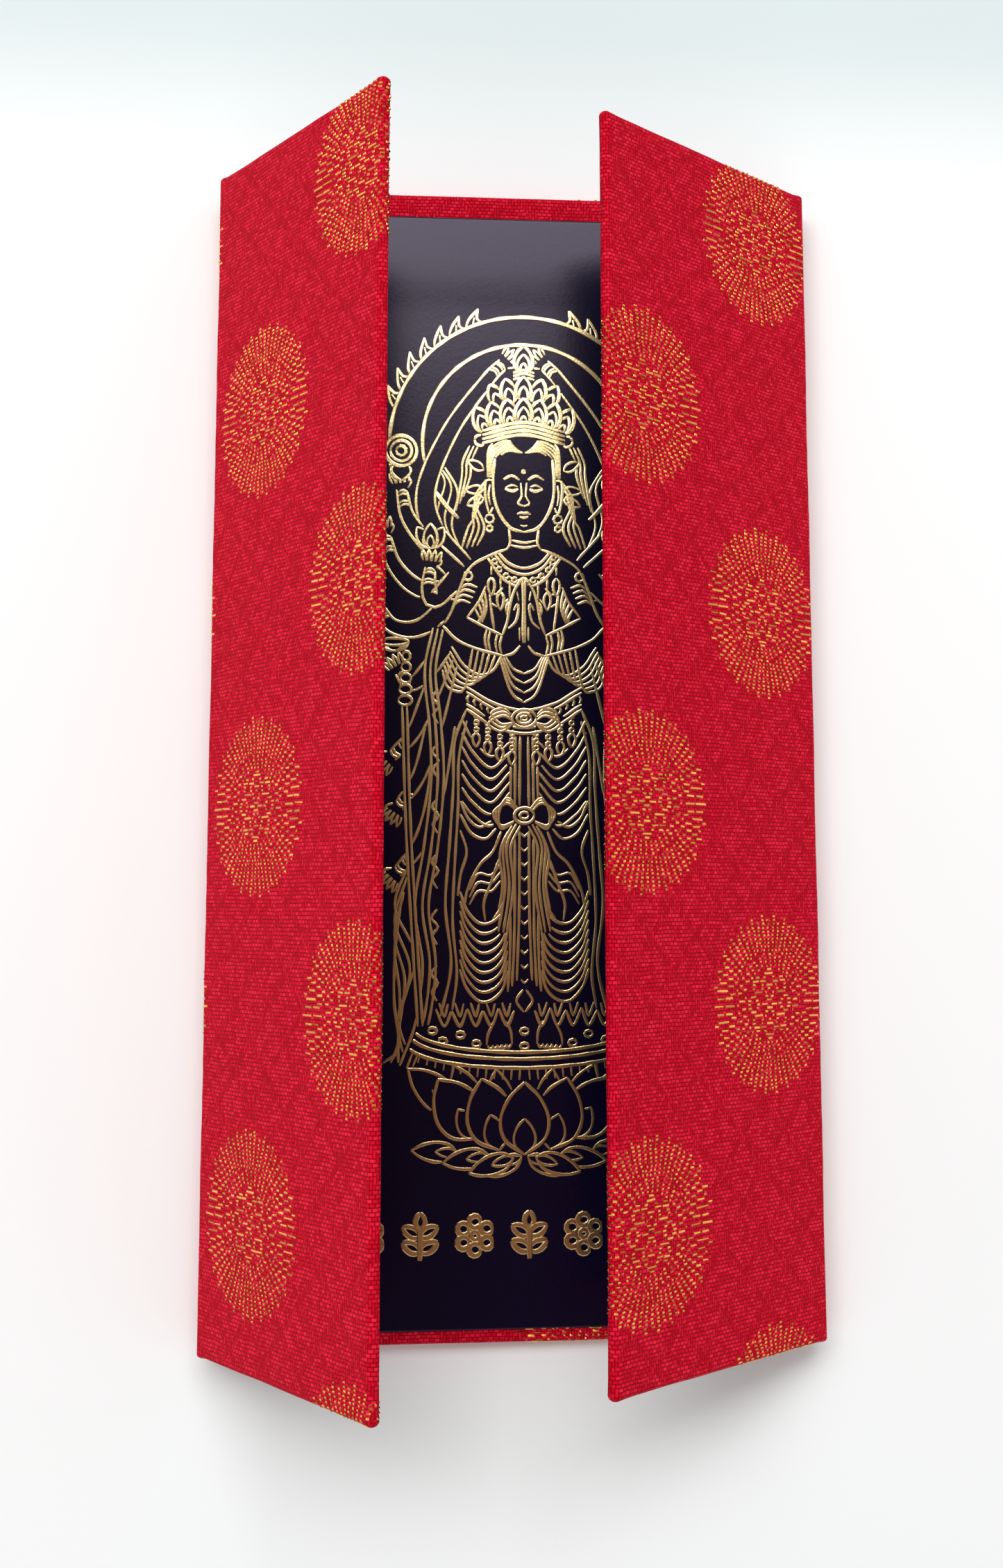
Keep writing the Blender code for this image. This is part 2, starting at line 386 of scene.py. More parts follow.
BESIDE_CREASE = 8.0
BACK_SPAN = CREASE - BESIDE_CREASE
MID_SPINE = CREASE + SPINE / 2

back_cloth = cloth_piece("back_cloth", 1, -BACK_SPAN, BACK_SPAN, False, brocade)
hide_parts("back_brocade")
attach(back_cloth, "back")

TILT = {"left": TILT_LEFT, "right": TILT_RIGHT}
SIGN = {"left": -1, "right": 1}
HALF_BEND = {"spine": 0.35, "door": 0.7}


def crease_span(hand, crease):
    """Start and end points of the bend across a crease, half its width to each side of the axis."""
    half = HALF_BEND[crease]
    if crease == "spine":
        way = np.array([0.7071, 0.7071])
        centre = np.array([CREASE, 0.0])
    else:
        way = np.array([-math.cos(TILT[hand]), 1 + math.sin(TILT[hand])])
        way /= np.hypot(*way)
        centre = np.array([CREASE, SPINE])
    ends = [centre - half * way, centre + half * way]
    return [(SIGN[hand] * x * MM, 0, z * MM) for x, z in ends]


for hand, side in SIGN.items():
    spine_cloth = cloth_piece(hand + "_spine_cloth", side, BACK_SPAN, MID_SPINE, False, brocade)
    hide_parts(hand + "_spine_brocade")
    start, end = crease_span(hand, "spine")
    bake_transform(spine_cloth)
    door_cloth = cloth_piece(hand + "_door_cloth", side, MID_SPINE, FREE_EDGE - EDGE_ROUND, True, brocade)
    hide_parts(hand + "_door_brocade")
    start, end = crease_span(hand, "door")
    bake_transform(door_cloth)


# ---- Gold wefts ---------------------------------------------------------------------------------
# Round petalled medallions are brocaded into the cloth with flat gilt-paper weft. In each row of the
# weave a gold weft comes up in short floats wherever the figure needs it, and dives back between.

MEDALLION = 11.65
COLUMN_STEP = 23.8
COLUMN_START = -13.0
COLUMN_DROP = 52.5
EVEN_COLUMN_V = 43.5
ODD_COLUMN_V = 17.3
LONGEST_FLOAT = 2.7
SHOWN_TURN_IN = 4.2


def medallion(across, along):
    """Whether the figure is gold: rayed petals round a ring of hollow leaves and a small flower."""
    rho = np.hypot(across, along) / MEDALLION
    turn = np.arctan2(along, across)
    scallop = 0.93 + 0.07 * np.abs(np.cos(15 * turn))
    petals = (np.cos(60 * turn) > -0.02) & (rho > 0.6) & (rho < scallop)
    inner_petals = (np.cos(36 * turn + 9 * rho) > 0.1) & (rho > 0.42) & (rho < 0.57)
    reach = np.abs(rho - 0.28) - 0.1 * np.abs(np.cos(4 * turn))
    leaves = (reach < 0.02) & (reach > -0.05)
    flower = (rho < 0.06 + 0.09 * np.cos(3 * turn) ** 2) & (rho > 0.03)
    return petals | inner_petals | leaves | flower


def medallion_floats():
    """Each gold float of one medallion: where its middle is and how long it is."""
    fine = 0.06
    across = np.arange(-MEDALLION - fine, MEDALLION + 2 * fine, fine)
    floats = []
    for row in range(-int(MEDALLION / ROW), int(MEDALLION / ROW) + 1):
        gold = medallion(across, np.full_like(across, row * ROW)).astype(int)
        starts = across[:-1][np.diff(gold) == 1]
        ends = across[:-1][np.diff(gold) == -1]
        for start, end in zip(starts, ends):
            parts = math.ceil((end - start) / LONGEST_FLOAT)
            for part in range(parts):
                length = (end - start) / parts
                floats.append((start + (part + 0.5) * length, row * ROW, max(length - 0.06, 0.34)))
    return np.array(floats)


def float_points():
    """Every gold float on the whole flat cloth, turn-ins included, as (u, v, length)."""
    one = medallion_floats()
    reach = FREE_EDGE + TURN_IN
    found = []
    for step in range(-5, 6):
        u = COLUMN_START + step * COLUMN_STEP
        first = EVEN_COLUMN_V if step % 2 == 0 else ODD_COLUMN_V
        for drop in range(-4, 3):
            v = round((first + drop * COLUMN_DROP) / ROW) * ROW
            if abs(u) < reach and abs(v) < HALF_HEIGHT + TURN_IN:
                found.append(one + [u, v, 0])
    return np.vstack(found)


# Gilt paper: lacquered gold leaf on a paper strip, so each float glints along its crown and goes
# dull brown-gold where it dips. Floats differ in tone, and most of them are bright.
gilt, tree, surface = new_material("gilt paper weft", Metallic=1.0, Roughness=0.25)
tone = add(tree, "ShaderNodeAttribute", attribute_name="shade")
worn = add(tree, "ShaderNodeValToRGB", {"Fac": tone.outputs["Fac"]})
worn.color_ramp.elements[0].color = linear("a8671e")
worn.color_ramp.elements[1].color = linear("ffc65e")
tree.links.new(worn.outputs["Color"], surface.inputs["Base Color"])


def node_tree(name, **inputs):
    """An empty Geometry Nodes tree with the named inputs, each of the given kind, and its input node."""
    tree = bpy.data.node_groups.new(name, "GeometryNodeTree")
    for label, kind in inputs.items():
        tree.interface.new_socket(label, in_out="INPUT", socket_type="NodeSocket" + kind)
    tree.interface.new_socket("Made", in_out="OUTPUT", socket_type="NodeSocketGeometry")
    return tree, add(tree, "NodeGroupInput")


def weft_tree():
    """Geometry Nodes: one arched float on every point, scaled by its "size", made real."""
    tree, given = node_tree("gold floats", Points="Geometry", Float="Object", Material="Material",
                            Twist="Float")
    shape = add(tree, "GeometryNodeObjectInfo", {"Object": given.outputs["Float"]})
    size = add(tree, "GeometryNodeInputNamedAttribute", {"Name": "size"}, data_type="FLOAT_VECTOR")
    slack = add(tree, "ShaderNodeMath", {0: given.outputs["Twist"], 1: -1.0}, operation="MULTIPLY")
    twist = add(tree, "FunctionNodeRandomValue", {2: slack, 3: given.outputs["Twist"], "Seed": 4},
                data_type="FLOAT")
    lean = add(tree, "ShaderNodeCombineXYZ", {"Z": twist.outputs[1]})
    placed = add(tree, "GeometryNodeInstanceOnPoints",
                 {"Points": given.outputs["Points"], "Instance": shape.outputs["Geometry"],
                  "Rotation": lean, "Scale": size.outputs["Attribute"]})
    real = add(tree, "GeometryNodeRealizeInstances", {"Geometry": placed})
    gilded = add(tree, "GeometryNodeSetMaterial", {"Geometry": real, "Material": given.outputs["Material"]})
    add(tree, "NodeGroupOutput", {0: gilded})
    return tree


def run_nodes(piece, tree, inputs):
    """Runs a node tree on a piece with the named inputs, and returns the result as a plain mesh."""
    modifier = piece.modifiers.new(tree.name, "NODES")
    modifier.node_group = tree
    sockets = {item.name: item.identifier for item in tree.interface.items_tree if item.in_out == "INPUT"}
    for name, value in inputs.items():
        modifier[sockets[name]] = value
    piece.update_tag()
    bpy.context.view_layer.update()
    ready = piece.evaluated_get(bpy.context.evaluated_depsgraph_get())
    made = bpy.data.meshes.new_from_object(ready)
    piece.modifiers.remove(modifier)
    return made


FLOAT_WIDTH = 0.25
FLOAT_RISE = 0.13
FLOAT_TWIST = 0.04
STRAY = [0.07, 0.03]

# One float, a unit long, wide and high: it dives at both ends and is crowned across.
stations = [(-0.5, -0.6), (-0.4, 0.55), (-0.15, 0.95), (0.15, 0.95), (0.4, 0.55), (0.5, -0.6)]
points = [(x, y, z * (0.35 if y else 1) - (0.15 if y else 0)) for x, z in stations for y in (-0.5, 0, 0.5)]
faces = strips([[3 * i + j for j in range(3)] for i in range(len(stations))])
faces.append(tuple(3 * i for i in range(6)) + tuple(3 * i + 2 for i in reversed(range(6))))
faces += [(0, 1, 2), (17, 16, 15)]
one_float = new_piece("one_float", points, faces, gilt)
float_nodes = weft_tree()
every_float = float_points()
rng = np.random.default_rng(7)


def gold_piece(name, u_from, u_to):
    """The gold floats between two places across the cloth, woven where they show."""
    u, v = every_float[:, :2].T
    over_v = np.abs(v) - (HALF_HEIGHT - EDGE_ROUND)
    over_u = np.abs(u) - (FREE_EDGE - EDGE_ROUND)
    shown = EDGE_ROUND * math.pi + 0.8 + SHOWN_TURN_IN
    chosen = every_float[(u >= u_from) & (u < u_to) & (over_v < shown) & (over_u < shown)
                         & ~((over_v > 0) & (over_u > 0))]
    count = len(chosen)
    laid = chosen[:, :2] + rng.normal(0, 1, (count, 2)) * STRAY
    mesh = bpy.data.meshes.new(name)
    mesh.from_pydata([(u, v, 0) for u, v in laid], [], [])
    size = np.column_stack([chosen[:, 2] * rng.uniform(0.92, 1.08, count),
                            FLOAT_WIDTH * rng.uniform(0.85, 1.12, count),
                            FLOAT_RISE * rng.uniform(0.75, 1.3, count)])
    mesh.attributes.new("size", "FLOAT_VECTOR", "POINT").data.foreach_set("vector", size.ravel())
    mesh.attributes.new("shade", "FLOAT", "POINT").data.foreach_set("value", rng.uniform(0, 1, count) ** 0.6)
    piece = bpy.data.objects.new(name, mesh)
    bpy.context.scene.collection.objects.link(piece)
    piece.data = run_nodes(piece, float_nodes, {"Float": one_float, "Material": gilt, "Twist": FLOAT_TWIST})
    place = np.zeros(len(piece.data.vertices) * 3)
    piece.data.vertices.foreach_get("co", place)
    u, v, height = place.reshape(-1, 3).T
    woven = wrap(u, v, ease(u, v) + height)
    piece.data.vertices.foreach_set("co", woven.ravel())
    piece.data.shade_smooth()
    piece.data.update()
    return piece


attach(gold_piece("back_gold", -BACK_SPAN, BACK_SPAN), "back")
for hand, side in SIGN.items():
    near, far = sorted((side * BACK_SPAN, side * MID_SPINE))
    spine_gold = gold_piece(hand + "_spine_gold", near, far)
    start, end = crease_span(hand, "spine")
    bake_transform(spine_gold)
    near, far = sorted((side * MID_SPINE, side * (FREE_EDGE + TURN_IN)))
    door_gold = gold_piece(hand + "_door_gold", near, far)
    start, end = crease_span(hand, "door")
    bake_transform(door_gold)
bpy.data.objects.remove(one_float)


# ---- Paper linings ------------------------------------------------------------------------------
# Matt black paper lines the inside of each spine and door, pasted over the brocade's turned-in edges.
# The turn-ins show through it as a low step.

PAPER = 0.14
LINING_BORDER = 2.5
LINING_SINK = 0.18
HINGE_PAPER = 6.0


def lining_depth(u, v):
    """How deep inside the cloth's outer face the lining lies: it sinks where no turn-in backs it."""
    clear_v = np.clip((HALF_HEIGHT - TURN_IN - np.abs(v)) / 1.5, 0, 1)
    clear_u = np.clip((FREE_EDGE - TURN_IN - np.abs(u)) / 1.5, 0, 1)
    step = (clear_v * clear_u) ** 2 * (3 - 2 * clear_v * clear_u)
    sunk = LINING_SINK * step * np.clip((thickness(u) - STRIP_EDGE) / 0.4, 0, 1)
    return thickness(u) + 0.02 - sunk + 0.015 * np.sin(0.4 * v + 0.5 * u)


# Black paper: soft, matt and slightly fibrous, with a trace of violet in its dye.
black_paper, tree, surface = new_material("matt black paper", Roughness=0.82)
fibrous(tree, surface, 0.35 * MM, 5.0, "1b1820", "34303a", 0.5, 0.03 * MM)


def lining_piece(name, side, u_from, u_to):
    """A strip of the black paper inside the folio, between two places across the flat cloth."""
    across = np.array(cuts_across(u_from, u_to))
    top = HALF_HEIGHT - LINING_BORDER
    middle = HALF_HEIGHT - TURN_IN
    steps = [end * (middle - d) for end in (-1, 1) for d in (0, 0.5, 1, 1.5)]
    along = np.unique(np.concatenate([np.linspace(-top, top, 90), steps]))
    v, u = [a.ravel() for a in np.meshgrid(along, side * across, indexing="ij")]
    numbers = np.arange(len(u)).reshape(len(along), len(across))
    sheets = []
    for extra in (PAPER, 0):
        x, z = fold(u, lining_depth(u, v) + extra)
        sheets.append(np.column_stack([x, v, z]) * MM)
    points, faces, _ = thicken(*sheets, strips(numbers.tolist()))
    piece = new_piece(name, points, faces, black_paper)
    return piece


for hand, side in SIGN.items():
    inner_hinge = lining_piece(hand + "_inner_hinge", side, CREASE - HINGE_PAPER, MID_SPINE)
    start, end = crease_span(hand, "spine")
    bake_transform(inner_hinge)
    spine_lining = lining_piece(hand + "_upper_hinge", side, MID_SPINE, DOOR_CREASE + HINGE_PAPER)
    start, end = crease_span(hand, "door")
    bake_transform(spine_lining)
    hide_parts(hand + "_spine_lining")
    door_lining = lining_piece(hand + "_door_paper", side, DOOR_CREASE + HINGE_PAPER,
                               FREE_EDGE - LINING_BORDER)
    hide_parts(hand + "_door_lining")
    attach(door_lining, hand + "_door")


# ---- Picture card -------------------------------------------------------------------------------
# A stiff black card is glued to the back panel, a little inside its edges. It lies over the cloth's
# turn-ins at head and tail, sinks a hair between them, and its cut edges are slightly crushed.

card_low, card_high = [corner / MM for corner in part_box("picture_card")]
CARD = card_high.z - card_low.z
CARD_REST = BACK_THICK + PAPER + 0.04
CARD_CORNER = 0.5


def card_top(x, y):
    """The card's printed face at a place, in millimetres."""
    clear = np.clip((HALF_HEIGHT - TURN_IN - np.abs(y)) / 6, 0, 1)
    edge = np.minimum.reduce([x - card_low.x, card_high.x - x, y - card_low.y, card_high.y - y])
    crushed = np.clip(1 - edge / 0.2, 0, 1)
    bow = 0.03 * np.sin(0.09 * y + 0.5) * np.cos(0.06 * x)
    return CARD_REST + CARD + bow - 0.12 * clear ** 2 * (3 - 2 * clear) - 0.09 * crushed ** 2


# Black card: smooth coated board, dyed through, in which a light beyond the head shows as a soft sheen.
black_card, tree, surface = new_material("smooth black card", Roughness=0.21, Specular_IOR_Level=0.3)
surface.inputs["Specular Tint"].default_value = linear("f4e6ff")
fibrous(tree, surface, 0.5 * MM, 6.0, "040418", "0e0a28", 0.5, 0.02 * MM, rough=0.65)


def card_lines(low, high, count):
    """Places of the card's rows or columns of points: even, and closer at the crushed edges."""
    edges = [[low + d, high - d] for d in (0.07, 0.14, 0.25, 0.5)]
    return np.unique(np.concatenate([np.linspace(low, high, count)] + edges))


lines_x = card_lines(card_low.x, card_high.x, 40)
lines_y = card_lines(card_low.y, card_high.y, 78)
y, x = [a.ravel() for a in np.meshgrid(lines_y, lines_x, indexing="ij")]
numbers = np.arange(len(x)).reshape(len(lines_y), len(lines_x))
height = card_top(x, y)
half = (card_high - card_low) / 2
middle = (card_high + card_low) / 2
over_x = np.maximum(np.abs(x - middle.x) - half.x + CARD_CORNER, 0)
over_y = np.maximum(np.abs(y - middle.y) - half.y + CARD_CORNER, 0)
square = np.column_stack([over_x, over_y]) / CARD_CORNER
round_x = x - np.sign(x - middle.x) * over_x * (1 - np.sqrt(1 - square[:, 1] ** 2 / 2))
round_y = y - np.sign(y - middle.y) * over_y * (1 - np.sqrt(1 - square[:, 0] ** 2 / 2))
upper = np.column_stack([round_x, round_y, height]) * MM
under = np.column_stack([round_x, round_y, card_top(middle.x + 0 * x, y) - CARD]) * MM
points, faces, _ = thicken(upper, under, strips(numbers.tolist()))
card = new_piece("card", points, faces, black_card)
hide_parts("picture_card")
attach(card, "back")


# ---- Foil drawing -------------------------------------------------------------------------------
# A gold foil line drawing is hot-stamped into the card: a robed temple figure of a general kind, with
# haloes and many arms, standing on a lotus, over a row of five plain ornaments.
# Places are in millimetres on the card: x from the drawing's middle line, y from the folio's middle.
# What is in front is drawn first, and hides the lines that later pass behind it.

MIDDLE_X = 1.3
LINE = 0.40
# Each line's section is a block with bevelled corners, pressed to a share of its height.
FOIL_BLOCK = 0.45
FOIL_ROUND = 0.07
FOIL_PRESS = 0.23
MIRROR = np.array([-1, 1])
drawing = bpy.data.curves.new("foil_lines", "CURVE")
drawing.dimensions = "3D"
covers = []


def smooth(points, step=0.55):
    """Points along a soft curve through the given points, about a step apart."""
    p = np.array(points, float)
    if len(p) == 2:
        way = p[1] - p[0]
        return p[0] + np.linspace(0, 1, max(2, int(np.hypot(*way) / step) + 1))[:, None] * way
    padded = np.vstack([2 * p[0] - p[1], p, 2 * p[-1] - p[-2]])
    run = []
    for a, b, c, d in zip(padded, padded[1:], padded[2:], padded[3:]):
        count = max(2, int(np.hypot(*(c - b)) / step) + 1)
        for t in np.linspace(0, 1, count, endpoint=False):
            run.append(b + 0.5 * t * (c - a + t * (2 * a - 5 * b + 4 * c - d + t * (3 * (b - c) + d - a))))
    return np.array(run + [p[-1]])


def cover(path, both=True):
    """From here on, lines inside this outline are hidden."""
    path = np.array(path, float)
    covers.append(path)
    if both:
        covers.append(path * MIRROR)


def hidden(path):
    """Which points of a path lie behind something already drawn."""
    behind = np.zeros(len(path), bool)
    x, y = path[:, :1], path[:, 1:]
    for rim in covers:
        (x0, y0), (x1, y1) = rim.T, np.roll(rim, -1, axis=0).T
        spans = (y0 > y) != (y1 > y)
        meets = x0 + (y - y0) * (x1 - x0) / np.where(y1 == y0, 1, y1 - y0)
        behind |= (spans & (x < meets)).sum(axis=1) % 2 == 1
    return behind


def stamp(path, wide=1.0, both=True):
    """Adds one foil line along a path, and its mirror image when both sides have it."""
    for side in (path, path * MIRROR) if both else (path,):
        behind = hidden(side)
        for run in np.split(np.arange(len(side)), np.flatnonzero(np.diff(behind.astype(int))) + 1):
            if behind[run[0]] or len(run) < 2:
                continue
            x = MIDDLE_X + side[run, 0]
            y = side[run, 1]
            spline = drawing.splines.new("POLY")
            spline.points.add(len(run) - 1)
            spline.points.foreach_set("co", np.column_stack([x, y, card_top(x, y), 1 + 0 * x]).ravel())
            ends = np.minimum(np.arange(len(run)), np.arange(len(run))[::-1])
            spline.points.foreach_set("radius", wide * np.clip(0.6 + 0.25 * ends, 0, 1)
                                      * (1 + 0.12 * np.sin(1.7 * x + 1.1 * y)))


def line(*points, **how):
    """A soft line through the points."""
    stamp(smooth(points), **how)


def ring(x, y, rx, ry=None, start=0, end=360):
    """Points of a round or oval arc about (x, y), in degrees from the right, counterclockwise."""
    ry = rx if ry is None else ry
    count = max(8, int(abs(math.radians(end - start)) * max(rx, ry) / 0.45) + 1)
    turn = np.radians(np.linspace(start, end, count))
    return np.column_stack([x + rx * np.cos(turn), y + ry * np.sin(turn)])


def arc(*place, wide=1.0, both=True, **span):
    """A foil line along a ring or part of one."""
    stamp(ring(*place, **span), wide=wide, both=both)


def disc(*place, both=True, wide=1.0):
    """A ring that hides what is behind it."""
    arc(*place, both=both, wide=wide)
    cover(ring(*place), both=both)


def beside(points, gap):
    """The soft curve through the points, moved sideways by a gap that may change from end to end."""
    path = smooth(points)
    way = np.gradient(path, axis=0)
    way /= np.hypot(*way.T)[:, None]
    gaps = np.interp(np.linspace(0, 1, len(path)), np.linspace(0, 1, len(gap)), gap)
    return path + np.column_stack([-way[:, 1], way[:, 0]]) * gaps[:, None]


def band(points, gaps, wide=1.0, both=True):
    """A strip between lines beside a curve, one line for each set of gaps; it hides what is behind."""
    edges = [beside(points, gap) for gap in gaps]
    for edge in edges:
        stamp(edge, wide=wide, both=both)
    cover(np.vstack([edges[0], edges[-1][::-1]]), both=both)


def petal(x, y, length, width, lean=0, wide=1.0, both=True, veins=()):
    """A pointed petal whose foot is at (x, y), leaning that many degrees, with slimmer ones inside it."""
    a = math.radians(lean)
    left = [(0, 0), (-0.4, 0.2), (-0.5, 0.48), (-0.32, 0.78), (0, 1)]
    rim = left + [(-s, t) for s, t in left[-2::-1]]
    for size in list(veins) + [1]:
        turned = [(x + width * size * s * math.cos(a) + length * (0.08 + 0.92 * size) * t * math.sin(a),
                   y - width * size * s * math.sin(a) + length * (0.08 + 0.92 * size) * t * math.cos(a))
                  for s, t in rim]
        halves = smooth(turned[:5]), smooth(turned[4:])
        for half in halves:
            stamp(half, wide=wide * (1 if size == 1 else 0.8), both=both)
    cover(np.vstack(halves), both=both)


def open_hand(wrist, way, fingers=4, wide=0.9, both=True):
    """An open hand: short round-tipped fingers fanned from the wrist, and a thumb."""
    wrist = np.array(wrist, float)
    way = np.array(way, float) / np.hypot(*way)
    across = np.array([-way[1], way[0]])
    for i in range(fingers):
        off = (i - (fingers - 1) / 2) * 0.6
        tip = wrist + way * (2.7 - 0.3 * abs(off)) + across * off * 1.5
        base = wrist + way * 0.9 + across * off
        for edge in (-0.22, 0.22):
            stamp(smooth([base + across * edge, (base + tip) / 2 + across * edge * 1.2, tip], 0.4), wide=wide,
                  both=both)
    thumb = wrist + across * 0.9
    stamp(smooth([thumb, thumb + way * 0.8 + across * 0.6, thumb + way * 1.6 + across * 0.3], 0.4), wide=wide,
          both=both)
    cover([wrist - across * 0.8, wrist - across * 1.3 + way * 2, wrist + way * 2.9,
           wrist + across * 1.3 + way * 2, wrist + across * 0.8], both=both)


def arm(*points, thick=(1.35, 1.1, 0.7)):
    """A bare arm from shoulder to wrist, with bracelets and an open hand."""
    path = smooth(points)
    open_hand(path[-1], path[-1] - path[-4])
    left, right = beside(points, thick), beside(points, [-t for t in thick])
    for back in (2, 3, 5, 6):
        bow = (left[-back] + right[-back]) / 2 + (path[-back] - path[-back - 1]) * 0.6
        stamp(smooth([left[-back], bow, right[-back]], 0.3), wide=0.9)
    band(points, [thick, [-t for t in thick]])


# Five plain ornaments below the figure, in heavier lines: rosettes and sprigs by turns.
ROW_Y = -65.9
for place in range(-3, 2):
    x = 7.35 * place + 0.6
    if place % 2:
        disc(x, ROW_Y, 0.55, both=False, wide=1.9)
        for i in range(6):
            a = math.radians(60 * i + 30)
            arc(x + 1.8 * math.cos(a), ROW_Y + 1.8 * math.sin(a), 0.8, both=False, wide=1.9)
    else:
        line((x, ROW_Y - 3.1), (x, ROW_Y + 1.4), both=False, wide=2.2)
        petal(x, ROW_Y + 0.9, 2.2, 1.3, both=False, wide=1.8)
        for lean in (-62, 62):
            for y in (-2, 0):
                petal(x, ROW_Y + y, 2.7, 1.3, lean, both=False, wide=1.8)

# The middle pair of arms, with palms joined, in front of everything.
palm = [(3, 15.7), (2.35, 17.6), (1.95, 20), (1.35, 22)]
line(*palm, (0.5, 23.3), (0.12, 22.9), (0.12, 14.6), wide=1.05)
line((2.2, 16.6), (1.15, 17.6), (0.75, 19.4), (0.95, 20.1), (1.4, 19.2))
line((1, 21.9), (0.75, 20.6), wide=0.7)
line((0.62, 16.8), (0.62, 14.9), wide=0.7)
line((2.9, 12.7), (1.5, 13.1), (0.55, 14.2))
for x in (3.1, 3.7, 4.7, 5.2):
    line((x, 15.6 + 0.45 * (x - 3.1)), (x + 0.3, 14.2 + 0.4 * (x - 3.1)), (x, 12.8 + 0.25 * (x - 3.1)))
line((11.4, 16.9), (9.4, 14.9), (6.4, 13.6), (2.9, 12.7))
line((8, 18.1), (5.8, 16.9), (3.1, 15.6))
cover([(0, 23.3)] + palm[::-1] + [(5.8, 16.9), (8, 18.1), (11.4, 16.9), (9.4, 14.9), (6.4, 13.6),
                                   (2.9, 12.7), (1.5, 13.1), (0.55, 14.2), (0, 14.6)])
shoulder = [(2.5, 27.9), (5.2, 26.8), (7.6, 25.2), (9, 22.4), (10.2, 19), (11.4, 16.9)]
line(*shoulder, wide=1.05)
line((5.4, 22.6), (6.2, 20.6), (7.4, 18.9), (8, 18.1))
for i in range(4):
    drop = 0.75 * i
    line((6.6 + 0.32 * i, 22.4 - drop), (8 + 0.3 * i, 22.8 - drop), (9 + 0.3 * i, 22.1 - drop))
disc(7.9, 24, 0.62)

# Head: a plain oval face in equal thirds, five eye-widths across, with lowered lids.
HAIRLINE = 42
CHIN = 30.4
THIRD = (HAIRLINE - CHIN) / 3
BROW = HAIRLINE - THIRD
NOSE = BROW - THIRD
MOUTH = NOSE - THIRD / 3
EYE = 1.72
oval = [(0, CHIN), (1.9, CHIN + 0.55), (3.4, CHIN + 2.5), (4.2, NOSE + 1), (4.35, BROW),
        (4.1, HAIRLINE - 1)]
line(*oval, wide=1.15)
line((0.6, BROW - 0.2), (EYE, BROW + 0.4), (2.85, BROW - 0.15), wide=1.15)
line((0.9, BROW - 1.2), (EYE, BROW - 0.95), (2.6, BROW - 1.35), wide=0.75)
line((0.8, BROW - 1.5), (1.2, BROW - 1.72), (EYE, BROW - 1.85), (2.7, BROW - 1.5), wide=1.2)
line((0.42, BROW - 0.6), (0.3, NOSE + 1.3), (0.78, NOSE + 0.5), (0.62, NOSE + 0.08), (0, NOSE - 0.1),
     wide=0.8)
line((-0.95, MOUTH), (-0.4, MOUTH + 0.22), (0, MOUTH + 0.12), (0.4, MOUTH + 0.22), (0.95, MOUTH), both=False)
line((-0.62, MOUTH - 0.36), (0, MOUTH - 0.52), (0.62, MOUTH - 0.36), both=False)
line((-0.5, CHIN + 1), (0, CHIN + 0.85), (0.5, CHIN + 1), both=False, wide=0.6)
arc(0, BROW + 1, 0.2, both=False, wide=0.9)
line((4.5, BROW - 0.3), (5.4, BROW - 0.4), (5.45, NOSE + 1.2), (4.9, NOSE - 1.2), (4.4, NOSE - 0.3))
line((4.8, BROW - 0.9), (5, NOSE + 1.4), (4.75, NOSE), wide=0.8)
disc(4.85, NOSE - 2, 0.62)
disc(4.85, NOSE - 3.4, 0.42)
cover(smooth(oval + [(0, HAIRLINE - 1)]))
cover([(4.2, BROW), (5.4, BROW - 0.4), (5.45, NOSE + 1.2), (4.9, NOSE - 1.2), (4.2, NOSE)])

# Crown: a beaded band, two tiers of round leaves and a bud on top, stamped almost solid.
for i in range(4):
    line((-5.9, 43.2 + 0.6 * i), (0, 44.5 + 0.6 * i), (5.9, 43.2 + 0.6 * i), both=False, wide=1.35)
cover([(0, 44.4), (5.9, 43.1), (5.9, 45.1), (0, 46.4)])
disc(6.2, 43.6, 0.8, wide=1.3)
for x, lean in ((0, 0), (1.8, 8), (3.5, 16), (5.1, 25)):
    petal(x, 45.6 - 0.04 * x * x, 4.3, 2.5, lean, wide=1.4, both=x > 0, veins=(0.35, 0.68))
for x, lean in ((0, 0), (1.7, 14), (3.1, 27)):
    petal(x, 49.2 - 0.09 * x * x, 3.9, 2.2, lean, wide=1.35, both=x > 0, veins=(0.6,))
for i in range(3):
    line((-1.5, 52.6 + 0.5 * i), (0, 53 + 0.5 * i), (1.5, 52.6 + 0.5 * i), both=False, wide=1.3)
petal(0, 53.4, 4.2, 2.7, wide=1.4, both=False, veins=(0.35, 0.68))

# Hair parted from the middle, ribbons beside the crown, and locks on the shoulders.
for i in range(6):
    rise = 0.36 * i
    line((0.2 + 0.3 * i, HAIRLINE - 0.1 + rise * 0.5), (2.4, HAIRLINE + 0.1 + rise), (4.2 + 0.12 * i,
         HAIRLINE - 1.8 + 0.5 * i), (4.65 + 0.1 * i, BROW - 0.4), wide=1.1)
cover([(0, HAIRLINE), (4.6, BROW - 0.4), (5.4, BROW - 0.2), (5.9, 43.4), (0, 44.6)])
for i in range(4):
    line((5.6 + 0.2 * i, BROW - 0.6 - 0.9 * i), (7 + 0.1 * i, NOSE + 0.6 - i), (5.6 + 0.75 * i, NOSE - 3.2),
         (6.6 + 0.75 * i, CHIN - 2 - 0.2 * i), wide=0.95)
for y, lean in ((BROW + 1.2, 60), (BROW - 1.6, 95), (NOSE + 1, 115)):
    petal(5.7, y, 2.6, 1.2, lean, wide=0.9)
for i in range(3):
    out = 0.6 * i
    line((6.5 + out, 42.8), (7.5 + out, 40.4), (7.6 + out, 38.4), (8.6 + 0.5 * i, 35.4 - i), wide=0.95)
cover([(5.2, BROW), (7.8, 40), (8.9, 34.5), (8.4, 28.4), (6.2, 28.4), (5.4, 31)])

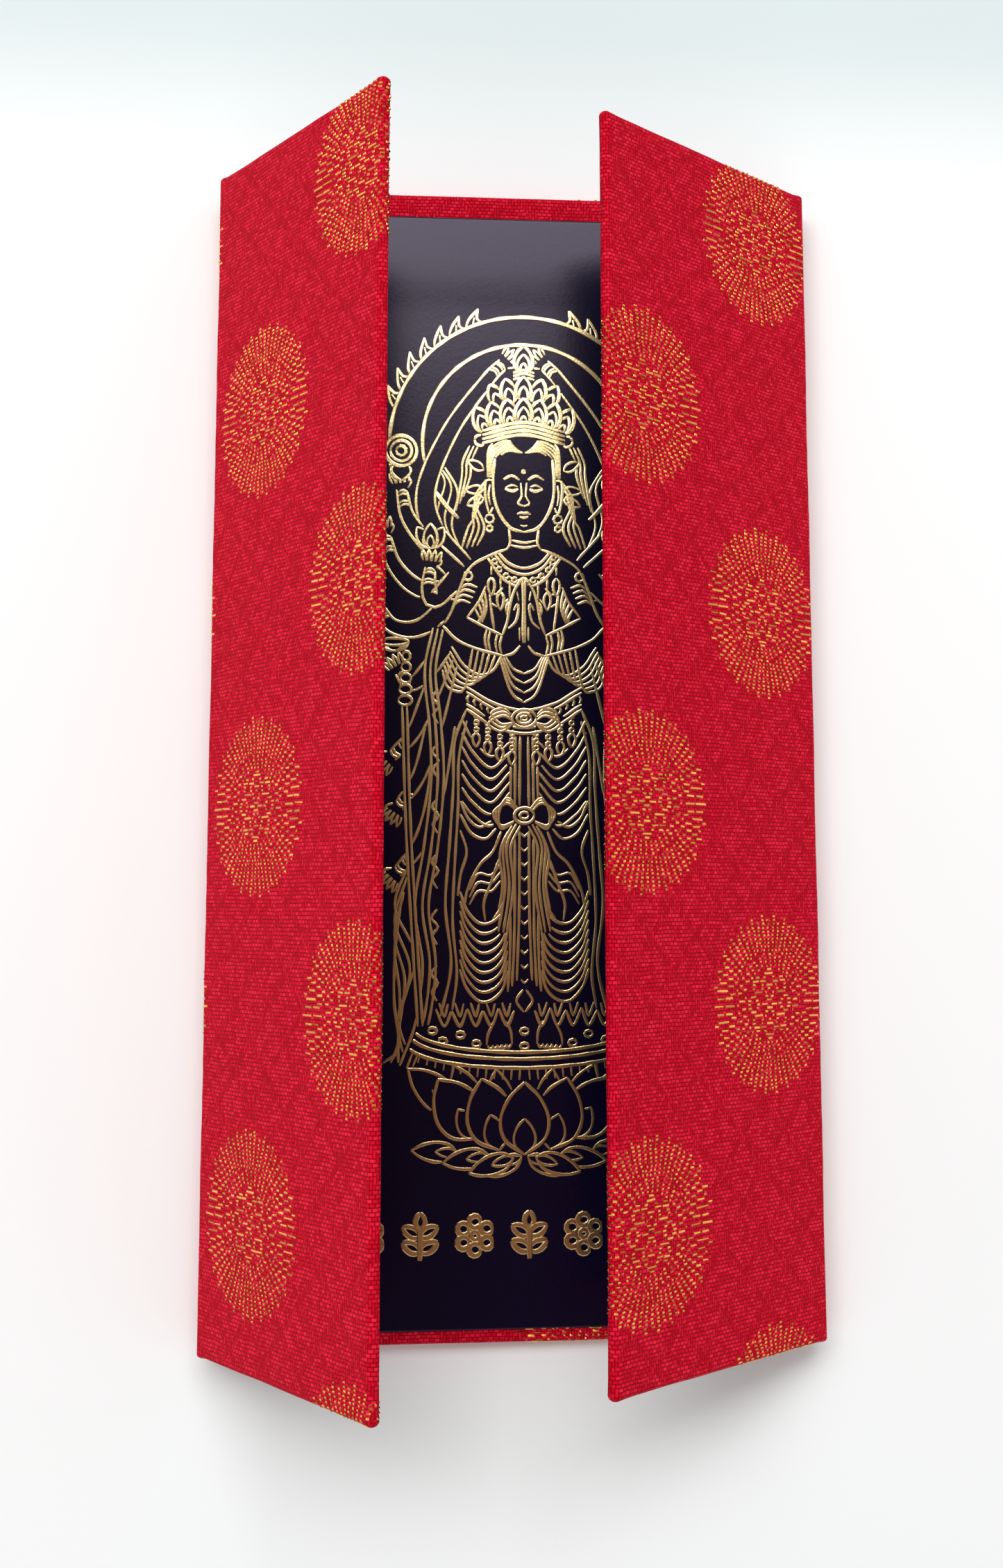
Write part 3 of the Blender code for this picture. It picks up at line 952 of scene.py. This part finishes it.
# Neck, collar and strings of beads over the chest.
line((2.1, CHIN + 0.5), (1.95, CHIN - 1.6), (2.5, CHIN - 2.6))
for y, half_width in ((29.2, 1.7), (28.5, 1.9)):
    line((-half_width, y), (0, y - 0.35), (half_width, y), both=False, wide=0.9)
for i in range(9):
    a = math.radians(200 + i * 17.5)
    disc(4.4 * math.cos(a), 27.6 + 4.3 * math.sin(a), 0.36, both=False)
for i in range(4):
    line((-3.8 - 0.5 * i, 27.6 - 0.25 * i), (-2.2 - 0.2 * i, 25.9 - 0.8 * i), (0, 25.2 - 0.9 * i),
         (2.2 + 0.2 * i, 25.9 - 0.8 * i), (3.8 + 0.5 * i, 27.6 - 0.25 * i), both=False, wide=1.1)
for x in (2, 3.3, 4.6):
    petal(x, 19.6 + 0.2 * x * x, 2.6, 0.95, 180)
    line((x, 23 + 0.12 * x * x), (x, 19.4 + 0.2 * x * x), wide=0.9)
for i in range(4):
    line((5.6 + 0.45 * i, 22.2 - 0.9 * i), (5.3 + 0.3 * i, 19.6 - 0.6 * i), (5.9 + 0.35 * i, 17.4))
line((5, 23.4), (4.7, 20), (4.2, 16.4))
line((3, 22.4), (3.9, 21.4), (4.8, 21.8))
line((2.2, 20.8), (3.4, 19.6), (4.7, 20.2))
petal(0, 22.2, 1.7, 1.3, both=False, wide=1.2)
for i in range(4):
    line((7.4 + 0.8 * i, 14.4 + 0.7 * i), (6.6 + 0.9 * i, 15.2 + 0.6 * i), (5.4 + 0.9 * i, 15.3 + 0.7 * i),
         wide=0.9)

# Belt, its buckle and the beads and drops that hang from it, over the looped scarf.
for r in (0.35, 0.75, 1.25):
    disc(0, 3.9, 1.35 * r, r, both=False, wide=1.1)
for i in range(3):
    line((1.5, 4.2 - 0.35 * i), (3, 5.3 - 0.5 * i), (4.6 + 0.2 * i, 4.6 - 0.7 * i), (3.2, 3.1 - 0.5 * i),
         (1.5, 3.3))
cover(smooth([(1.4, 4.4), (3, 5.3), (4.8, 4.6), (5, 3.4), (3.4, 2.1), (1.4, 3.1)]))
for y, dip in ((8.3, 3.2), (7.6, 3.25), (5.9, 3.3), (5.2, 3.4)):
    low = y - 0.72 * dip
    line((-8.1, y), (-4.2, low), (0, y - dip), (4.2, low), (8.1, y), both=False, wide=1.1)
for i in range(8):
    x = 1 + 0.95 * i
    y = 7.7 - 3.25 * math.cos(x / 8.1 * math.pi / 2) ** 1.4
    line((x, y - 0.4), (x + 0.35, y - 0.95), (x + 0.1, y - 1.5))
cover([(-8.1, 8.3), (-4.2, 6), (0, 5.1), (4.2, 6), (8.1, 8.3), (8.1, 5.2), (4.2, 2.8), (0, 1.8),
       (-4.2, 2.8), (-8.1, 5.2)], both=False)
for i in range(4):
    line((2.6 + 0.3 * i, 12.6), (1.5 + 0.1 * i, 10.9 - 1.1 * i), (0, 10.2 - 1.35 * i), wide=0.95)
for i in range(6):
    line((3.2 + 0.8 * i, 12.7 + 0.2 * i), (4.3 + 0.8 * i, 10.7 - 0.5 * i), (6.2 + 0.7 * i, 10 - 0.45 * i),
         (8.4 + 0.5 * i, 11.3 - 0.55 * i), (10.2 + 0.25 * i, 14 - 0.65 * i), wide=0.95)
for x in (1.7, 3.4, 5.1, 6.7):
    top = 1.6 + 0.06 * x * x
    for drop in range(3):
        disc(x, top - 1 * drop, 0.32)
    petal(x, top - 2.4, 2, 1, 180)

# The middle sash: a knot, two loops and long tails.
for r in (0.5, 1.1):
    disc(0, -9.6, 1.25 * r, r, both=False, wide=1.1)
for i in range(3):
    line((0.9, -9.2 + 0.3 * i), (2.4, -7.9 + 0.35 * i), (4.3 - 0.4 * i, -9.2), (3.2, -11 - 0.2 * i),
         (1, -10.2))
cover(smooth([(0.9, -8.8), (2.4, -7.4), (4.3, -9.2), (3.2, -11.4), (1, -10.4)]))
band([(1, -10.8), (2.4, -14), (2.1, -19.5), (3, -25.6)],
     [[-0.5, -0.55, -0.6], [0.1, 0, -0.1], [0.5, 0.55, 0.6]])
line((2.4, -25.9), (3, -25.2), (3.6, -26.2))
for i in range(11):
    line((-0.5, -12 - 2 * i), (0, -12.5 - 2 * i), (0.5, -12 - 2 * i), both=False, wide=0.8)
for x in (0.55, 1.2, 1.8):
    line((x, 1.4), (x + 0.1, -8.2), (x + 0.15, -20 - 4 * x), (x + 0.5, -31.5 - 1.2 * x))
cover([(0, 1.4), (1.8, 1.4), (1.95, -20), (2.3, -33.5), (1, -32), (0, -32)])
line((0.2, -33.4), (1.1, -34.9), (0.1, -36.4))

# Skirt: swagged folds over each leg, side pleats and the hem.
for i in range(7):
    line((2, 0.6 - 1.4 * i), (4.6, -1.4 - 1.6 * i), (7.2, 1 - 1.75 * i), (8.7, 3.8 - 1.9 * i))
line((2.3, -11.8), (3.4, -15), (3, -19), (3.6, -23))
line((3.2, -11.8), (4.4, -14.6), (6.2, -16.4), (7.8, -19.6), (8.4, -22.4))
line((3.9, -11.4), (5.4, -12.8), (7.4, -12), (8.9, -9.4))
line((4.6, -10.4), (6.2, -11.2), (7.8, -10), (8.9, -7.6))
line((3.5, -15.6), (4.6, -18.8), (5.6, -21.6), (5.4, -24))
line((8.9, -11.6), (8, -14.6), (8.8, -17.6), (9.2, -20.6))
line((2.5, -19.6), (3.2, -22.2), (4.4, -24))
for i in range(9):
    top = -19.8 - 1.32 * i
    line((2.35, top - 0.4), (3, top - 2.9), (4.5, top - 4.4), (6.3, top - 4.5), (8, top - 2.7),
         (8.9, top - 0.2))
for i in range(3):
    line((3.3, -16.2 - 1.2 * i), (4.6, -17.8 - 1.1 * i), (6.4, -17.6 - 1.2 * i), (7.6, -19.8 - i), wide=0.85)
side_hem = [(8.1, 5.1), (9.7, 0.6), (9.9, -6), (10.4, -14), (10.9, -22), (10.1, -30), (11.5, -36.8)]
line(*side_hem, wide=1.05)
line((8, 3.6), (9.1, -1.6), (9.2, -8.4), (9.6, -15.6), (9.9, -24), (9.3, -31), (9.9, -36))
for i in range(5):
    x = 1.4 + 2.15 * i
    line((x, -36.2 + 0.3 * (i % 2)), (x + 1, -38.2), (x + 2.15, -36.2 + 0.3 * ((i + 1) % 2)), wide=1.1)
    line((x + 0.5, -35.2), (x + 1, -36.9), (x + 1.7, -35.1))
cover([(0, 28)] + shoulder + [(10.2, 13.6), (8.1, 9)] + side_hem + [(0, -37.2)])

# Feet on the seed head of an open lotus, its petals and its lower leaves.
for i in range(5):
    arc(2.2 + 0.62 * i, -40.7 - 0.05 * i, 0.32, 0.42, start=170, end=370)
line((1.7, -40.7), (1.9, -38.9), (2.6, -37.6))
line((5.2, -40.8), (5, -39.4), (4.2, -37.8))
cover([(1.7, -40.9), (1.9, -38.9), (2.6, -37.6), (4.2, -37.8), (5, -39.4), (5.2, -41)])
for x, y in ((0, -41), (6.6, -40.6), (8.8, -39.4), (11.2, -40.2), (0, -39), (12.6, -38.8)):
    disc(x, y, 0.6, 0.45, both=x > 0)
    arc(x, y, 0.25, 0.18, both=x > 0)
for i, y in enumerate((-41.6, -42.5, -43.7)):
    rim = ring(0, y + 3.2, 15.2 + 0.4 * i, 3.4, start=192, end=348)
    stamp(rim, both=False, wide=1.2)
cover(np.vstack([rim, [(15, -38.5), (-15, -38.5)]]), both=False)
for i in range(13):
    x = 0.6 + 1.15 * i
    line((x, -44.1 + 0.0085 * x * x), (x + 0.12, -45.5 + 0.012 * x * x), wide=0.95)
for x, lean, size in ((0, 0, 9.6), (5.6, 14, 9.8), (10.4, 34, 9.6)):
    petal(x * 0.62, -55.4 + 0.02 * x * x, size, 6.6, lean, wide=1.15, both=x > 0, veins=(0.45,))
for x, lean in ((4.6, 6), (9.4, 24), (14, 50)):
    petal(x * 0.62, -53.8 + 0.02 * x * x, 9.4, 4.4, lean, both=True, veins=(0.5,))
for x, lean in ((1.5, 108), (4.8, 98), (9, 86)):
    petal(x, -55.9 + 0.09 * x, 6.4, 2.6, lean, wide=1.05, veins=(0.45,))
petal(0.4, -55.6, 5.4, 2.2, 118, veins=(0.4,))

# Plain things that the hands hold: a jewel, a bud, a bowl, a staff and a spear.
disc(17.4, 41.9, 0.7, wide=1.3)
disc(17.4, 41.9, 1.5, wide=1.2)
disc(17.4, 41.9, 2.2, wide=1.4)
petal(17.4, 40.2, 2.6, 2.8, 180, wide=1.2)
for lean in (0, -32, 32):
    petal(13.2, 27.9, 3.6, 1.9, lean, veins=(0.5,))
for i in range(4):
    arc(18.2, 14.6 - 0.2 * i, 2 - 0.35 * i, 1.3 - 0.2 * i, start=180, end=360)
arc(18.2, 14.6, 2, 0.5)
for i in range(5):
    disc(16.6 - 0.03 * i, 6.4 + 1.55 * i, 0.95 - 0.1 * i, 0.68)
band([(16.7, 6.2), (15.9, -14), (14, -42)], [[0.33, 0.33], [-0.33, -0.33]])

# Scarves that fall from the elbows to the lotus, with turned edges, and the pleats that show beside them.
scarf = [(11.4, 16.4), (12.4, 10.4), (11.6, 3), (11.2, -5), (12, -14), (13.2, -22), (12.2, -30),
         (13.2, -38), (15.4, -44)]
for i in range(6):
    y = 8 - 7.6 * i
    line((12, y), (12.8, y - 1.2), (11.9, y - 2.4), (12.7, y - 3.6), (12, y - 4.8))
band(scarf, [[0, 0, 0], [0.7, 0.9, 0.7], [1.4, 1.9, 1.7]])

# Side arms, each with its bracelets, spread like a fan from behind the shoulders.
arm((10.6, 15.2), (13.2, 11), (15.8, 8.6), (17.4, 10.4))
arm((9.6, 23.6), (12.6, 20.6), (13.4, 22.4), (13.2, 25.2))
arm((10.8, 13.6), (13.6, 6), (15.6, 1.6), (18.4, -1.4))
arm((10.4, 20), (14.6, 16.6), (18.4, 16.8), (20.8, 20))
arm((10.6, 12), (12.8, 2), (14.6, -4), (17.4, -8.4))
arm((9.4, 24.4), (13.6, 28.6), (16.4, 32.4), (17.3, 36.4))
arm((9.8, 22), (14.8, 22.2), (18.2, 25.4), (19.6, 29.8))
arm((11, 3), (12.6, -8), (14.8, -14), (17.6, -17.4))
arm((8.8, 25.4), (12.8, 30.6), (13.8, 36.5), (10.4, 45), (5.2, 52.4), (2.9, 54.9), thick=(1.6, 1.2, 0.8))
for i in range(5):
    line((15.8 + 0.4 * i, -16 - 2 * i), (17.8, -22 - 2 * i), (15 + 0.7 * i, -29 - 1.5 * i),
         (17.2, -37 - i), (15.2 + i, -43))
for i in range(4):
    line((8.6 + 0.9 * i, 27.2 + 0.6 * i), (10.2 + i, 31.2 + 0.8 * i), (9.4 + 0.9 * i, 36 + 0.7 * i),
         (11.2 + 0.6 * i, 39.6), wide=0.85)

# Two haloes behind the head, the outer one edged with small flames.
arc(0, 43.3, 14.4, start=-50, end=230, wide=1.5, both=False)
for degrees in range(112, 168, 8):
    a = math.radians(degrees)
    foot = np.array([19.2 * math.cos(a), 42.7 + 19.2 * math.sin(a)])
    out = np.array([math.cos(a), math.sin(a)])
    along = np.array([math.sin(a), -math.cos(a)])
    tip = foot + out * 2 + along * 1.5
    line(foot - along * 1.2, foot + out * 0.9 - along * 0.4, tip, wide=1.1)
    line(foot + along * 1.2, foot + out * 0.7 + along * 0.8, tip, wide=1.1)
    line(foot + out * 0.2, foot + out * 1 + along * 0.5)
arc(0, 42.7, 19.1, start=-60, end=240, wide=1.5, both=False)


def foil_tree():
    """Geometry Nodes: a low flat-topped ribbon of foil on each line, as wide as the line's radius says."""
    tree, given = node_tree("foil ribbons", Lines="Geometry", Width="Float", Block="Float", Round="Float",
                            Press="Float", Material="Material")
    upright = add(tree, "GeometryNodeSetCurveNormal", {"Curve": given.outputs["Lines"]}, mode="Z_UP")
    section = add(tree, "GeometryNodeCurvePrimitiveQuadrilateral",
                  {"Width": given.outputs["Width"], "Height": given.outputs["Block"]})
    eased = add(tree, "GeometryNodeFilletCurve",
                {"Curve": section, "Radius": given.outputs["Round"], "Count": 1}, mode="POLY")
    flat = add(tree, "ShaderNodeCombineXYZ", {"X": 1.0, "Y": given.outputs["Press"], "Z": 1.0})
    pressed = add(tree, "GeometryNodeTransform", {"Geometry": eased, "Scale": flat})
    width = add(tree, "GeometryNodeInputRadius")
    ribbon = add(tree, "GeometryNodeCurveToMesh",
                 {"Curve": upright, "Profile Curve": pressed, "Scale": width, "Fill Caps": True})
    real = add(tree, "GeometryNodeRealizeInstances", {"Geometry": ribbon})
    foiled = add(tree, "GeometryNodeSetMaterial", {"Geometry": real, "Material": given.outputs["Material"]})
    add(tree, "NodeGroupOutput", {0: foiled})
    return tree


# Hot-stamped foil: a metallised lacquer film, bright and smooth, that takes a faint orange-peel
# from the card's fibres beneath it.
foil, tree, surface = new_material("hot-stamped gold foil", Metallic=1.0, Roughness=0.23)
surface.inputs["Base Color"].default_value = linear("f9e2a6")
place = add(tree, "ShaderNodeTexCoord")
peel = add(tree, "ShaderNodeTexNoise", {"Vector": place.outputs["Object"], "Scale": 1 / (0.3 * MM),
                                        "Detail": 3.0})
raised = add(tree, "ShaderNodeBump", {"Height": peel, "Strength": 0.6, "Distance": 0.02 * MM})
tree.links.new(raised.outputs[0], surface.inputs["Normal"])

lines_object = bpy.data.objects.new("foil_lines", drawing)
bpy.context.scene.collection.objects.link(lines_object)
foil_mesh = run_nodes(lines_object, foil_tree(), {"Width": LINE, "Block": FOIL_BLOCK, "Round": FOIL_ROUND,
                                                  "Press": FOIL_PRESS, "Material": foil})
bpy.data.objects.remove(lines_object)
foil_mesh.transform(Matrix.Scale(MM, 4))
foil_mesh.shade_flat()
foil_drawing = bpy.data.objects.new("foil_drawing", foil_mesh)
bpy.context.scene.collection.objects.link(foil_drawing)
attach(foil_drawing, "back")


# ---- Floor, light and camera --------------------------------------------------------------------
# The folio lies on its back on a plain white sheet, under one wide soft light beyond its head.
# Past the head the sheet is painted a little darker, a painted shade where that light thins out.
# It is not part of the object.

SHEET = 1.5
SHEET_Z = -0.25 * MM
DIM_FROM = 78 * MM
DIM_TO = 112 * MM
sheet_mesh = bpy.data.meshes.new("table")
sheet_mesh.from_pydata([(-SHEET, -SHEET, SHEET_Z), (SHEET, -SHEET, SHEET_Z), (SHEET, SHEET, SHEET_Z),
                        (-SHEET, SHEET, SHEET_Z)], [], [(0, 1, 2, 3)])
white_sheet, tree, surface = new_material("white paper sheet", Roughness=0.8)
place = add(tree, "ShaderNodeTexCoord")
toward_head = add(tree, "ShaderNodeSeparateXYZ", {"Vector": place.outputs["Object"]})
# Painted shade: the sheet's colour goes from white to a darker grey-blue past the head.
painted_shade_past_head = add(tree, "ShaderNodeMapRange",
             {"Value": toward_head.outputs["Y"], "From Min": DIM_FROM, "From Max": DIM_TO},
             interpolation_type="SMOOTHSTEP")
paper = add(tree, "ShaderNodeMix", {"Factor": painted_shade_past_head, "A": linear("fbfdfd"), "B": linear("d9e4e5")},
            data_type="RGBA")
tree.links.new(paper.outputs["Result"], surface.inputs["Base Color"])
sheet_mesh.materials.append(white_sheet)
table = bpy.data.objects.new("table", sheet_mesh)
bpy.context.scene.collection.objects.link(table)

# A pale room, with whoever bends over the folio as a warm dark patch overhead.
world = bpy.data.worlds.new("studio")
bpy.context.scene.world = world
world.use_nodes = True
tree = world.node_tree
way = add(tree, "ShaderNodeTexCoord")
overhead = add(tree, "ShaderNodeVectorMath", {0: way.outputs["Generated"], 1: (0.05, -0.14, 0.989)},
               operation="DOT_PRODUCT")
shaded = add(tree, "ShaderNodeMapRange",
             {"Value": overhead.outputs["Value"], "From Min": 0.76, "From Max": 0.94},
             interpolation_type="SMOOTHSTEP")
sky = add(tree, "ShaderNodeMix", {"Factor": shaded, "A": [0.91, 0.95, 0.96, 1], "B": [0.22, 0.10, 0.06, 1]},
          data_type="RGBA")
tree.links.new(sky.outputs["Result"], tree.nodes["Background"].inputs["Color"])
tree.nodes["Background"].inputs["Strength"].default_value = 0.74


def soft_light(name, place, size, power):
    """A soft box at a place, turned to face the folio; metres and watts."""
    lamp = bpy.data.lights.new(name, "AREA")
    lamp.shape = "RECTANGLE"
    lamp.size, lamp.size_y = size
    lamp.energy = power
    box = bpy.data.objects.new(name, lamp)
    box.location = place
    box.rotation_euler = (-Vector(place)).to_track_quat("-Z", "Y").to_euler()
    bpy.context.scene.collection.objects.link(box)


soft_light("window", (-0.12, 0.43, 0.78), (0.8, 0.34), 5.5)

LENS = 41.08
CAMERA = Vector((-14.16, -21.13, 250.87)) * MM
TURN = Vector((-7.23, 4.96, -0.05))
camera_data = bpy.data.cameras.new("camera")
camera_data.sensor_fit = "VERTICAL"
camera_data.sensor_height = 36
camera_data.lens = LENS
camera_data.shift_x = -0.0425
camera_data.shift_y = -0.0711
camera_data.clip_start = 0.01
camera = bpy.data.objects.new("camera", camera_data)
angle = math.radians(TURN.length)
camera.matrix_world = Matrix.Translation(CAMERA) @ Matrix.Rotation(angle, 4, TURN.normalized()).transposed()
bpy.context.scene.collection.objects.link(camera)
bpy.context.scene.view_settings.view_transform = "Standard"
bpy.context.scene.camera = camera
